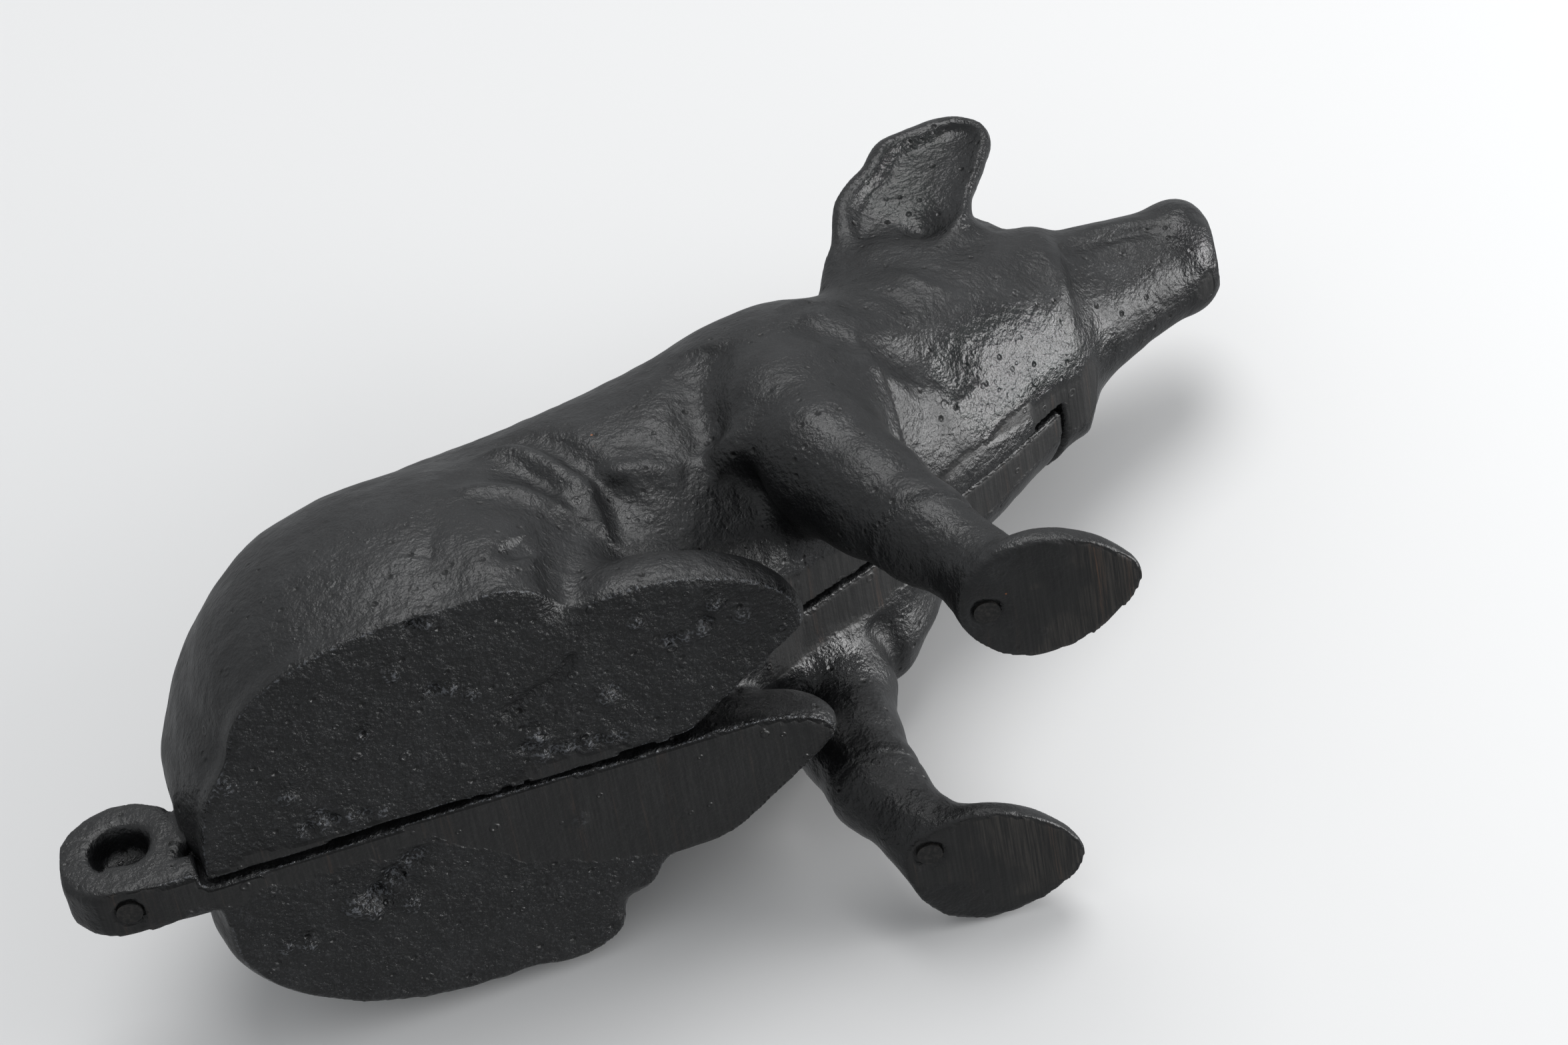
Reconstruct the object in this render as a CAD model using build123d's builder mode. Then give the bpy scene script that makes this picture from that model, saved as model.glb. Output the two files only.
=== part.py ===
from build123d import *
import math
import os

# Seated pig figure, cast in two half shells on the median plane.
# Frame: +X to the snout, +Y to the pig's left, +Z up, millimetres, standing on its two soles and its tail.

# --- stance -------------------------------------------------------------------------------------
seat_pitch = 8.4            # degrees the ground seat face is pitched nose-up above the table
seat_origin_x = -98.78       # rear end of the seat face, measured from the middle of the figure
seat_lift = 1.65            # height of the rear end of the seat face above the table

# --- castings -----------------------------------------------------------------------------------
wall = 5.0                  # thickness of the cast shell
seat_wall = 6.0             # thickness of the closed seat
seam_gap = 0.9              # open joint between the two halves
collar_gap = 1.0            # joint between the head and the left half's neck collar

# --- trunk: (distance from the seat's rear end, height of the middle, half width, half height) ---
rump = (1.0, 17.0, 9.0, 15.0)
croup = (5.0, 20.0, 22.0, 28.0)
hip = (13.0, 23.0, 34.0, 38.0)
haunch_rear = (26.0, 26.0, 43.0, 46.0)
haunch = (42.0, 29.0, 46.5, 50.0)
loin = (60.0, 33.0, 45.5, 51.0)
flank = (80.0, 41.0, 42.0, 46.0)
belly = (100.0, 50.0, 40.0, 42.0)
girth = (125.0, 59.5, 40.0, 38.5)
chest = (150.0, 68.0, 38.0, 35.0)
breast = (172.0, 76.0, 32.5, 31.0)
neck = (200.0, 87.5, 22.5, 23.5)
trunk = [rump, croup, hip, haunch_rear, haunch, loin, flank, belly, girth, chest, breast, neck]
hollow = [hip, haunch_rear, haunch, loin, flank, belly, girth, chest]

# --- haunch and hind foot -----------------------------------------------------------------------
right_thigh_centre = (52.0, 30.0, 24.0)
right_thigh_radii = (41.0, 21.5, 46.0)
left_thigh_centre = (47.0, 29.0, 22.0)
left_thigh_radii = (45.0, 22.5, 46.0)
right_foot_centre = (98.0, 25.0, 4.0)
left_foot_centre = (100.0, 18.0, 4.0)
foot_radii = (28.0, 15.5, 15.0)
foot_toe_in = 12.0

# --- forelegs: (distance along, half spread, height above the seat plane, radius) ----------------
shoulder_centre = (139.0, 26.0, 56.0)
shoulder_radii = (27.0, 16.0, 33.0)
right_leg = [(137.0, 31.0, 44.0, 15.0), (143.0, 32.0, 20.0, 12.5), (150.0, 32.0, 2.0, 10.5), (158.0, 32.0, -12.0, 9.0)]
left_leg = [(134.0, 29.0, 44.0, 15.0), (134.0, 28.5, 20.0, 11.5), (134.5, 28.0, 2.0, 9.5), (137.0, 29.0, -11.0, 8.5)]

# --- hooves: soles are ground flat on the table --------------------------------------------------
right_sole_x = 72.46        # middle of the right sole
right_sole_y = -32.0
left_sole_x = 53.46         # the left foreleg stands further back
left_sole_y = 36.0
sole_length = 36.0
sole_width = 29.0
right_sole_yaw = -5.0       # degrees, toe turned out a little
left_sole_yaw = 5.0
hoof_wall = 4.5             # height of the upright wall of a hoof above its sole

# --- round plugs ----------------------------------------------------------------------------------
plug_diameter = 5.2
plug_depth = 5.0
tail_plug_depth = 2.6
plug_recess = 0.2           # face of each plug below the ground surface round it
plug_clearance = 0.03       # radial
heel_inset = 4.4            # plug centre ahead of the heel of the sole
left_plug_offset = -5.0     # the left plug sits towards the inner edge

# --- tail: a flat strap rolled into one and a quarter turns --------------------------------------
tail_roll_x = -15.0
tail_roll_radius = 10.4     # to the middle of the strap
tail_strap = 4.2            # thickness
tail_width = 12.0
tail_inner_edge = -2.8      # the roll's right edge, just past the median plane behind the rump
tail_root_clear = 1.6       # behind the seat's rear end, where the roll may pass the median plane
tail_end_radius = 5.0       # where the inner end of the roll stops

# --- head ------------------------------------------------------------------------------------------
# middle (distance along, height), half width, half height, pitch of the section
collar_section = (180.5, 83.0, 27.5, 29.5, 43.0)
cheek_section = (202.0, 90.0, 22.5, 25.0, 18.0)
muzzle_section = (216.0, 93.5, 16.0, 18.8, 8.0)
snout_section = (231.0, 97.5, 12.4, 14.0, 2.0)
disc_section = (243.0, 100.5, 12.6, 13.2, -4.0)
head_sections = [collar_section, cheek_section, muzzle_section, snout_section, disc_section]
ear_root = (171.0, 20.0, 97.5)
ear_tip_reach = 50.0
ear_lean = 43.0             # degrees forward of upright
ear_splay = 12.0            # degrees out from the median plane
ear_half_width = 14.0
ear_half_thickness = 5.0
ear_cup = 3.4

# --- tie screws ------------------------------------------------------------------------------------
screw_diameter = 6.0
screw_head_diameter = 11.0
screw_head_depth = 3.2
screw_clearance = 0.3       # radial, in the left half
thread_clearance = 0.08     # radial, in the tapped right half
thread_engagement = 16.0
boss_radius = 7.0
boss_past_head = 3.0        # boss beyond the seat of the screw head, into the flank wall
boss_gap = 0.06             # between the two bosses where they meet on the median plane
slot_width = 1.4
slot_depth = 1.5
front_screw_at = (124.0, 60.0)
rear_screw_at = (44.0, 40.0)
front_head_seat = 33.5      # from the median plane to the underside of the screw head
rear_head_seat = 44.0

pitch = math.radians(seat_pitch)
along = Vector(math.cos(pitch), 0, math.sin(pitch))
upward = Vector(-math.sin(pitch), 0, math.cos(pitch))
seat_start = Vector(seat_origin_x, 0, seat_lift)
half_gap = seam_gap / 2


def place(x, y, z):
    """A point given along, across and above the seat face, in the figure's own frame."""
    return seat_start + along * x + Vector(0, y, 0) + upward * z


def cross_plane(x, tilt=0.0, z=0.0, y=0.0):
    """A plane across the figure whose local axes run to the left and up the seat's upright."""
    swing = pitch + math.radians(tilt)
    facing = Vector(math.cos(swing), 0, math.sin(swing))
    return Plane(origin=place(x, y, z), x_dir=(0, 1, 0), z_dir=facing)


def trunk_mass(stations, inset):
    """The trunk as one smooth mass, or the hollow inside it when inset is the wall."""
    faces = []
    for x, z, half_width, half_height in stations:
        with BuildSketch(cross_plane(x, 0, z)) as face:
            Ellipse(half_width - inset, half_height - inset)
        faces.append(face.sketch)
    return loft(sections=faces, mode=Mode.PRIVATE)


def blob(centre, radii, side, toe_in=0.0, shrink=0.0):
    """An egg-shaped mass on one flank, turned in plan by toe_in degrees."""
    ball = scale(Sphere(1, mode=Mode.PRIVATE), by=tuple(r - shrink for r in radii), mode=Mode.PRIVATE)
    turned = Rotation(0, 0, -side * toe_in) * ball
    where = place(centre[0], side * centre[1], centre[2])
    return Pos(*where) * Rotation(0, -seat_pitch, 0) * turned


def sole_outline(x, y, yaw):
    """The leaf-shaped outline of a hoof sole on the table, heel to the rear."""
    back = sole_length / 2
    side = sole_width / 2
    with BuildSketch(Plane.XY * Pos(x, y) * Rotation(0, 0, yaw)) as face:
        with BuildLine():
            Spline(
                (-back, 0),
                (-back * 0.84, -side * 0.56),
                (-back * 0.3, -side),
                (back * 0.3, -side * 0.93),
                (back * 0.8, -side * 0.48),
                (back, 0),
                (back * 0.8, side * 0.48),
                (back * 0.3, side * 0.93),
                (-back * 0.3, side),
                (-back * 0.84, side * 0.56),
                periodic=True,
            )
        make_face()
    return face.sketch


def ring_section(x, y, z, radius, tilt):
    """A round section of a leg, facing down the leg."""
    with BuildSketch(Plane(origin=place(x, y, z), x_dir=(0, 1, 0), z_dir=-1 * leg_axis(tilt))) as face:
        Circle(radius)
    return face.sketch


def leg_axis(tilt):
    lean = math.radians(tilt)
    return Vector(-math.sin(lean), 0, math.cos(lean))


def foreleg(points, side, sole_x, sole_y, yaw):
    """Round sections from the shoulder to the pastern, and the hoof spread out to its sole."""
    first, last = points[0], points[-1]
    tilt = math.degrees(math.atan2(last[0] - first[0], first[2] - last[2])) - seat_pitch
    rings = [ring_section(x, side * y, z, r, tilt) for x, y, z, r in points]
    shaft = loft(sections=rings, mode=Mode.PRIVATE)
    pastern = ring_section(last[0], side * last[1], last[2], last[3], tilt + 25)
    with BuildSketch(Plane.XY.offset(hoof_wall) * Pos(sole_x, sole_y) * Rotation(0, 0, yaw)) as wall_top:
        Ellipse(sole_length / 2 * 0.94, sole_width / 2 * 0.9)
    hoof = loft(sections=[sole_outline(sole_x, sole_y, yaw), wall_top.sketch, pastern], mode=Mode.PRIVATE)
    return shaft, hoof


def head_face(section):
    x, z, half_width, half_height, tilt = section
    with BuildSketch(cross_plane(x, tilt, z)) as face:
        Ellipse(half_width, half_height)
    return face.sketch


def ear(side):
    """A leaf-shaped ear, hollowed on its front."""
    x, y, z = ear_root
    lean = math.radians(ear_lean)
    reach = ear_tip_reach / 2
    centre = place(x + reach * math.sin(lean), side * (y + 4), z + reach * math.cos(lean))
    leaf = scale(Sphere(1, mode=Mode.PRIVATE), by=(ear_half_width, ear_half_thickness, reach), mode=Mode.PRIVATE)
    hollow = scale(Sphere(1, mode=Mode.PRIVATE), by=(ear_half_width - 3, ear_half_thickness, reach - 4), mode=Mode.PRIVATE)
    shell = leaf - Pos(2.5, ear_cup * side, 2) * hollow
    turn = Rotation(0, ear_lean - seat_pitch, 0) * Rotation(-side * ear_splay, 0, 0)
    return Pos(*centre) * turn * shell


def box_below(limit):
    """Everything under the seat face, used to grind the haunches and hind feet flat."""
    block = Box(170, 140, 60, align=(Align.MIN, Align.CENTER, Align.MAX), mode=Mode.PRIVATE)
    return Pos(*place(-20, 0, limit)) * Rotation(0, -seat_pitch, 0) * block


def shell_hollow():
    """The hollow inside the shell, closed below by the seat."""
    return trunk_mass(hollow, wall) - box_below(seat_wall)


def beyond_collar():
    """Everything ahead of the left half's neck collar."""
    block = Box(160, 160, 120, align=(Align.CENTER, Align.CENTER, Align.MIN), mode=Mode.PRIVATE)
    return collar_plane.offset(-collar_gap).location * block


def table_side():
    """Everything below the table top, used to grind the tail flat."""
    block = Box(400, 200, 50, align=(Align.CENTER, Align.CENTER, Align.MAX), mode=Mode.PRIVATE)
    return block


def tail_relief():
    """Room for the right casting beside the root of the tail."""
    block = Box(30, 20, 20, align=(Align.MIN, Align.MAX, Align.CENTER), mode=Mode.PRIVATE)
    return Pos(*place(-tail_root_clear, half_gap, 0)) * Rotation(0, -seat_pitch, 0) * block


def boss(at, reach, side):
    """A solid boss from the seam to the flank wall round one tie screw."""
    return across(at, side * boss_gap / 2, side * reach, boss_radius)


def across(at, start, end, radius):
    """A round bar across the figure between two distances from the median plane."""
    base = Plane(origin=place(at[0], min(start, end), at[1]), x_dir=(1, 0, 0), z_dir=(0, 1, 0))
    upright = (Align.CENTER, Align.CENTER, Align.MIN)
    bar = Cylinder(radius, abs(end - start), align=upright, mode=Mode.PRIVATE)
    return base.location * bar


def seam_side(side):
    """The half space beyond the open joint, which each half keeps clear of."""
    block = Box(400, 120, 300, align=(Align.CENTER, Align.MIN, Align.CENTER), mode=Mode.PRIVATE)
    turned = Rotation(0, 0, 0 if side < 0 else 180) * block
    return Pos(0, side * half_gap, 60) * turned


collar_plane = cross_plane(collar_section[0], collar_section[4], collar_section[1])


def on_sole(x, y, yaw, offset):
    """The middle of a round plug near the heel of a sole."""
    swing = math.radians(yaw)
    back = sole_length / 2 - heel_inset
    across_sole = offset
    return (
        x - back * math.cos(swing) - across_sole * math.sin(swing),
        y - back * math.sin(swing) + across_sole * math.cos(swing),
    )


right_plug_at = on_sole(right_sole_x, right_sole_y, right_sole_yaw, 0)
left_plug_at = on_sole(left_sole_x, left_sole_y, left_sole_yaw, left_plug_offset)
tail_plane = Plane(origin=place(0, tail_inner_edge, 0), x_dir=along, z_dir=(0, -1, 0))
tail_roll_z = tail_roll_radius + tail_strap / 2
tail_middle = place(tail_roll_x, tail_inner_edge + tail_width / 2, tail_roll_z)
tail_plug_at = (tail_middle.X, tail_middle.Y)


def tail_turn(degrees, radius):
    """A point on the roll of the tail, degrees round from the bottom towards the rear."""
    turn = math.radians(degrees)
    return (tail_roll_x - radius * math.sin(turn), tail_roll_z - radius * math.cos(turn))


tail_course = [(6.0, tail_strap / 2 + 0.6), (-6.0, tail_strap / 2 + 0.1), tail_turn(0, tail_roll_radius)]
for step in range(1, 9):
    shrink = max(0, step - 4) / 4
    radius = tail_roll_radius + (tail_end_radius - tail_roll_radius) * shrink
    tail_course.append(tail_turn(step * 45, radius))

# ----------------------------------------------------------------------------------------------------
# right casting: trunk half, haunch, hind foot, foreleg, whole head with both ears
# ----------------------------------------------------------------------------------------------------
RIGHT = -1
with BuildPart() as right_casting:
    add(trunk_mass(trunk, 0))
    add(blob(right_thigh_centre, right_thigh_radii, RIGHT))
    add(blob(right_foot_centre, foot_radii, RIGHT, foot_toe_in))
    add(box_below(0), mode=Mode.SUBTRACT)
    add(blob(shoulder_centre, shoulder_radii, RIGHT))
    for piece in foreleg(right_leg, RIGHT, right_sole_x, right_sole_y, right_sole_yaw):
        add(piece)
    add(seam_side(RIGHT), mode=Mode.SUBTRACT)
    add(shell_hollow(), mode=Mode.SUBTRACT)
    for at, seat in ((front_screw_at, front_head_seat), (rear_screw_at, rear_head_seat)):
        add(boss(at, seat + boss_past_head, RIGHT))
        add(across(at, -thread_engagement - 2, 2, screw_diameter / 2 + thread_clearance), mode=Mode.SUBTRACT)
    loft(sections=[head_face(s) for s in head_sections])
    add(ear(RIGHT))
    add(ear(-RIGHT))
    with Locations(right_plug_at):
        Cylinder(plug_diameter / 2 + plug_clearance, plug_depth * 2, mode=Mode.SUBTRACT)

# ----------------------------------------------------------------------------------------------------
# left casting: trunk half up to the neck collar, haunch, hind foot, foreleg, rolled tail
# ----------------------------------------------------------------------------------------------------
LEFT = 1
with BuildPart() as left_casting:
    add(trunk_mass(trunk, 0))
    add(blob(left_thigh_centre, left_thigh_radii, LEFT))
    add(blob(left_foot_centre, foot_radii, LEFT, foot_toe_in))
    add(box_below(0), mode=Mode.SUBTRACT)
    add(blob(shoulder_centre, shoulder_radii, LEFT))
    for piece in foreleg(left_leg, LEFT, left_sole_x, left_sole_y, left_sole_yaw):
        add(piece)
    add(seam_side(LEFT), mode=Mode.SUBTRACT)
    add(beyond_collar(), mode=Mode.SUBTRACT)
    add(shell_hollow(), mode=Mode.SUBTRACT)
    for at, seat in ((front_screw_at, front_head_seat), (rear_screw_at, rear_head_seat)):
        add(boss(at, seat + boss_past_head, LEFT))
        add(across(at, -2, seat + 1, screw_diameter / 2 + screw_clearance), mode=Mode.SUBTRACT)
        add(across(at, seat, 70, screw_head_diameter / 2 + screw_clearance), mode=Mode.SUBTRACT)
    with BuildSketch(tail_plane):
        with BuildLine():
            tail_line = Spline(*tail_course)
        trace(tail_line, tail_strap)
    extrude(amount=-tail_width)
    add(tail_relief(), mode=Mode.SUBTRACT)
    add(table_side(), mode=Mode.SUBTRACT)
    with Locations(tail_plug_at):
        Cylinder(plug_diameter / 2 + plug_clearance, tail_plug_depth * 2, mode=Mode.SUBTRACT)
    with Locations(left_plug_at):
        Cylinder(plug_diameter / 2 + plug_clearance, plug_depth * 2, mode=Mode.SUBTRACT)


def tie_screw(at, seat):
    """A slotted cheese-head screw from the left flank into the right half's boss."""
    head = across(at, seat, seat + screw_head_depth, screw_head_diameter / 2)
    shank = across(at, -thread_engagement, seat, screw_diameter / 2)
    slot_at = place(at[0], seat + screw_head_depth, at[1])
    slot = Box(slot_width, slot_depth * 2, screw_head_diameter * 2, mode=Mode.PRIVATE)
    return head + shank - Pos(*slot_at) * slot


# ----------------------------------------------------------------------------------------------------
# tie screws
# ----------------------------------------------------------------------------------------------------
with BuildPart() as front_tie_screw:
    add(tie_screw(front_screw_at, front_head_seat))

with BuildPart() as rear_tie_screw:
    add(tie_screw(rear_screw_at, rear_head_seat))

# ----------------------------------------------------------------------------------------------------
# round plugs in the two heels and under the tail
# ----------------------------------------------------------------------------------------------------
upright = (Align.CENTER, Align.CENTER, Align.MIN)
with BuildPart() as right_hoof_plug:
    with Locations((*right_plug_at, plug_recess)):
        Cylinder(plug_diameter / 2, plug_depth - plug_recess, align=upright)

with BuildPart() as left_hoof_plug:
    with Locations((*left_plug_at, plug_recess)):
        Cylinder(plug_diameter / 2, plug_depth - plug_recess, align=upright)

with BuildPart() as tail_plug:
    with Locations((*tail_plug_at, plug_recess)):
        Cylinder(plug_diameter / 2, tail_plug_depth - plug_recess, align=upright)

right_casting.part.label = "right_casting"
left_casting.part.label = "left_casting"
front_tie_screw.part.label = "front_tie_screw"
rear_tie_screw.part.label = "rear_tie_screw"
right_hoof_plug.part.label = "right_hoof_plug"
left_hoof_plug.part.label = "left_hoof_plug"
tail_plug.part.label = "tail_plug"

os.makedirs("parts", exist_ok=True)
export_step(right_casting.part, "parts/right_casting.step")
export_step(left_casting.part, "parts/left_casting.step")
export_step(front_tie_screw.part, "parts/front_tie_screw.step")
export_step(rear_tie_screw.part, "parts/rear_tie_screw.step")
export_step(right_hoof_plug.part, "parts/right_hoof_plug.step")
export_step(left_hoof_plug.part, "parts/left_hoof_plug.step")
export_step(tail_plug.part, "parts/tail_plug.step")
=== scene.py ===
# %% [markdown]
# # A seated pig figure, sand-cast in two halves and painted black
#
# The real thing is a heavy iron figure. Two hollow halves meet on the median plane and are held together
# by two screws. The underside was ground flat on a belt, so it shows bare striped bands beside rough
# casting skin full of sand pits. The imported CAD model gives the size, the screws and the plugs. This file
# sculpts the two skins over it and paints them.

# %% Load the fixed frame
import math

import bpy
import numpy as np
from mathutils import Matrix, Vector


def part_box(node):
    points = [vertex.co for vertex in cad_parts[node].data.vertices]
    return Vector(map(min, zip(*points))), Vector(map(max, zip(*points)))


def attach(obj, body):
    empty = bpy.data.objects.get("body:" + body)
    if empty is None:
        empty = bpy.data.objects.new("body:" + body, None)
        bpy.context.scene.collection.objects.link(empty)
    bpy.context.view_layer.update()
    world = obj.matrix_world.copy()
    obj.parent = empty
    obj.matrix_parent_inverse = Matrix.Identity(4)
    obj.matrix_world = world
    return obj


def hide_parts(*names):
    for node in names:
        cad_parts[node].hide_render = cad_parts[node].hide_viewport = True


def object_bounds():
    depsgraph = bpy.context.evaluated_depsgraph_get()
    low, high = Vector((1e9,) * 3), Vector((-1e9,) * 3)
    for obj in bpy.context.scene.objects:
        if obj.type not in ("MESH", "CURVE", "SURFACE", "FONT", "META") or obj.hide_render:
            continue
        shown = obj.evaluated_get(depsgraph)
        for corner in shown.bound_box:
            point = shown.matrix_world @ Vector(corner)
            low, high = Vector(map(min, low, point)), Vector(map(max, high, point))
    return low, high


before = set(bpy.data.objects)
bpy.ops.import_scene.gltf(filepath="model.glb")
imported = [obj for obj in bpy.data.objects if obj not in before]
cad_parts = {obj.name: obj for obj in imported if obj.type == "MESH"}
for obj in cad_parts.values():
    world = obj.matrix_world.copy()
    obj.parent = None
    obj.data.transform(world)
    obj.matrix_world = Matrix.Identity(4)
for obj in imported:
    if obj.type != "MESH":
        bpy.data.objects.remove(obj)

import openvdb
from mathutils import Matrix, Vector

cad_low, cad_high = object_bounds()
print("CAD box, mm:", [round(1000 * v, 1) for v in cad_low], [round(1000 * v, 1) for v in cad_high])

# %% [markdown]
# ## Working in the seat's own frame
#
# The pig sits on a flat face that is pitched nose-up above the table, because the forelegs reach lower
# than the seat. Sculpting is easier when the seat is level, so every shape below is placed in millimetres
# along, across and above the seat, and one function turns the finished skin into the frame of the CAD
# model.

# %% From the seat's frame to the model's frame
MM = 0.001
SEAT_PITCH = math.radians(8.4)
SEAT_LIFT = 1.65
SEAT_START = cad_low[0] / MM + 29.16
RISE, RUN = math.sin(SEAT_PITCH), math.cos(SEAT_PITCH)


def stand_up(points):
    """Points along, across and above the seat, in mm, as points of the standing figure in metres."""
    x, y, z = points[:, 0], points[:, 1], points[:, 2]
    return np.stack([x * RUN - z * RISE + SEAT_START, y, x * RISE + z * RUN + SEAT_LIFT], 1) * MM


def height_above_table(x, z):
    return x * RISE + z * RUN + SEAT_LIFT


print("the seat starts at x =", round(SEAT_START, 2), "mm")

# %% [markdown]
# ## Clay: a solid held as distances
#
# A cast animal has no straight parts: masses flow into each other and folds are pressed in. One way to
# make it is to push the points of a subdivided cage. Here it is held as clay: a grid that stores, at
# every point, the distance to the skin, negative inside. Two masses are joined by taking the smaller
# distance and rounding the join, a cut takes the larger one, and a fold adds a little to the distance
# along a line. The skin is then read off the grid as a mesh.

# %% Joining and cutting distances
def join(a, b, soft):
    """The smaller of two distances, with the corner between them filled over about soft mm."""
    overlap = np.maximum(soft - np.abs(a - b), 0) / soft
    return np.minimum(a, b) - overlap * overlap * soft * 0.25


def cut(a, b, soft):
    """The larger of two distances, with the edge between them rounded over about soft mm."""
    return -join(-a, -b, soft)


# %% The block of clay
class Clay:
    """Distances to the skin on an even grid, in mm in the seat's frame."""

    def __init__(self, low, high, step):
        self.step = step
        counts = [int(math.ceil((h - l) / step)) + 1 for l, h in zip(low, high)]
        self.axes = [(l + step * np.arange(n)).astype(np.float32) for l, n in zip(low, counts)]
        self.field = np.full(counts, 9.0, np.float32)

    def window(self, low, high):
        """The part of the grid between two corners, and the places of its points."""
        spans = []
        for axis, l, h in zip(self.axes, low, high):
            spans.append(slice(int(np.searchsorted(axis, l)), int(np.searchsorted(axis, h))))
        x, y, z = (axis[s] for axis, s in zip(self.axes, spans))
        return tuple(spans), x[:, None, None], y[None, :, None], z[None, None, :]

    def whole(self):
        x, y, z = self.axes
        return x[:, None, None], y[None, :, None], z[None, None, :]

    def add(self, shape, soft):
        """Joins a mass on; a shape is its distance and the two corners of its box."""
        distance, low, high = shape
        spans, x, y, z = self.window(np.array(low) - soft - 3, np.array(high) + soft + 3)
        self.field[spans] = join(self.field[spans], distance(x, y, z), soft)

    def press(self, course, width, depth):
        """Presses a fold along a course of points, or raises a ridge when depth is negative."""
        line = smooth_course(course)
        spans, x, y, z = self.window(line.min(0) - 3 * width, line.max(0) + 3 * width)
        near = np.full(self.field[spans].shape, 1e6, np.float32)
        fade = np.zeros_like(near)
        for number, (a, b) in enumerate(zip(line[:-1], line[1:])):
            along, away = to_segment(x, y, z, a, b)
            share = (number + along) / (len(line) - 1)
            closer = away < near
            near = np.where(closer, away, near)
            fade = np.where(closer, np.sqrt(np.clip(4 * share * (1 - share), 0, 1)), fade)
        self.field[spans] += depth * fade * np.exp(-(near / width) ** 2)

    def dent(self, centre, radii, depth):
        """Presses a soft hollow, or raises a swelling when depth is negative."""
        reach = 2.2 * np.array(radii)
        spans, x, y, z = self.window(np.array(centre) - reach, np.array(centre) + reach)
        far = sum(((p - c) / r) ** 2 for p, c, r in zip((x, y, z), centre, radii))
        self.field[spans] += depth * np.exp(-far)


def to_segment(x, y, z, a, b):
    """How far along a straight run each point is, from 0 to 1, and its distance from the run."""
    run = b - a
    along = ((x - a[0]) * run[0] + (y - a[1]) * run[1] + (z - a[2]) * run[2]) / max(float(run @ run), 1e-6)
    along = np.clip(along, 0, 1)
    gap = [p - a[i] - along * run[i] for i, p in enumerate((x, y, z))]
    return along, np.sqrt(gap[0] ** 2 + gap[1] ** 2 + gap[2] ** 2)


def smooth_course(course, pieces=5):
    """A smooth line through a few chosen points."""
    points = np.array(course, float)
    padded = np.vstack([2 * points[0] - points[1], points, 2 * points[-1] - points[-2]])
    line = []
    for i in range(1, len(padded) - 2):
        p0, p1, p2, p3 = padded[i - 1 : i + 3]
        for t in np.arange(pieces) / pieces:
            bend, twist = 2 * p0 - 5 * p1 + 4 * p2 - p3, 3 * p1 - p0 - 3 * p2 + p3
            line.append(0.5 * (2 * p1 + (p2 - p0) * t + bend * t**2 + twist * t**3))
    line.append(points[-1])
    return np.array(line)


# %% Masses to add: eggs, limbs and rows of cross-sections
def egg(centre, radii, yaw=0.0, pitch=0.0):
    """An egg-shaped mass, turned in plan by yaw degrees and nose-up by pitch degrees."""
    cy, sy = math.cos(math.radians(yaw)), math.sin(math.radians(yaw))
    cp, sp = math.cos(math.radians(pitch)), math.sin(math.radians(pitch))

    def distance(x, y, z):
        dx, dy, dz = x - centre[0], y - centre[1], z - centre[2]
        u, v = dx * cy + dy * sy, dy * cy - dx * sy
        u, w = u * cp + dz * sp, dz * cp - u * sp
        a, b, c = u / radii[0], v / radii[1], w / radii[2]
        k0 = np.sqrt(a * a + b * b + c * c)
        k1 = np.sqrt((a / radii[0]) ** 2 + (b / radii[1]) ** 2 + (c / radii[2]) ** 2)
        return k0 * (k0 - 1) / np.maximum(k1, 1e-4)

    reach = max(radii)
    return distance, [c - reach for c in centre], [c + reach for c in centre]


def limb(stations, soft=4.0):
    """Round sections joined one after the other: (along, across, above, radius)."""
    points = np.array([s[:3] for s in stations], float)
    radii = [s[3] for s in stations]

    def distance(x, y, z):
        field = None
        for a, b, ra, rb in zip(points[:-1], points[1:], radii[:-1], radii[1:]):
            along, away = to_segment(x, y, z, a, b)
            piece = away - (ra + (rb - ra) * along)
            field = piece if field is None else join(field, piece, soft)
        return field

    return distance, points.min(0) - max(radii), points.max(0) + max(radii)


def row_of_sections(stations, x, smoothing=5.0):
    """Middle height, half width and half height at each x, running smoothly through the stations."""
    table = np.array(stations, float)
    fine = np.arange(table[0, 0] - 30, table[-1, 0] + 30, 0.5)
    window = np.hanning(int(2 * smoothing / 0.5) + 3)
    columns = []
    for column in (1, 2, 3):
        straight = np.interp(fine, table[:, 0], table[:, column])
        columns.append(np.interp(x, fine, np.convolve(straight, window / window.sum(), mode="same")))
    return columns


def barrel(stations, x, y, z, smoothing=5.0):
    """Distance to a row of upright oval sections."""
    sections = row_of_sections(stations, x.ravel(), smoothing)
    middle, half_width, half_height = (column[:, None, None].astype(np.float32) for column in sections)
    a, b = y / half_width, (z - middle) / half_height
    k0 = np.sqrt(a * a + b * b)
    k1 = np.sqrt((a / half_width) ** 2 + (b / half_height) ** 2)
    return k0 * (k0 - 1) / np.maximum(k1, 1e-4)


# %% [markdown]
# ## The pig's masses
#
# A sculptor blocks out the trunk first: a barrel that is deep at the haunches and narrows to the neck.
# The head carries the same row of sections on to the snout. Both halves are carved from the same trunk,
# so their edges meet.

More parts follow.
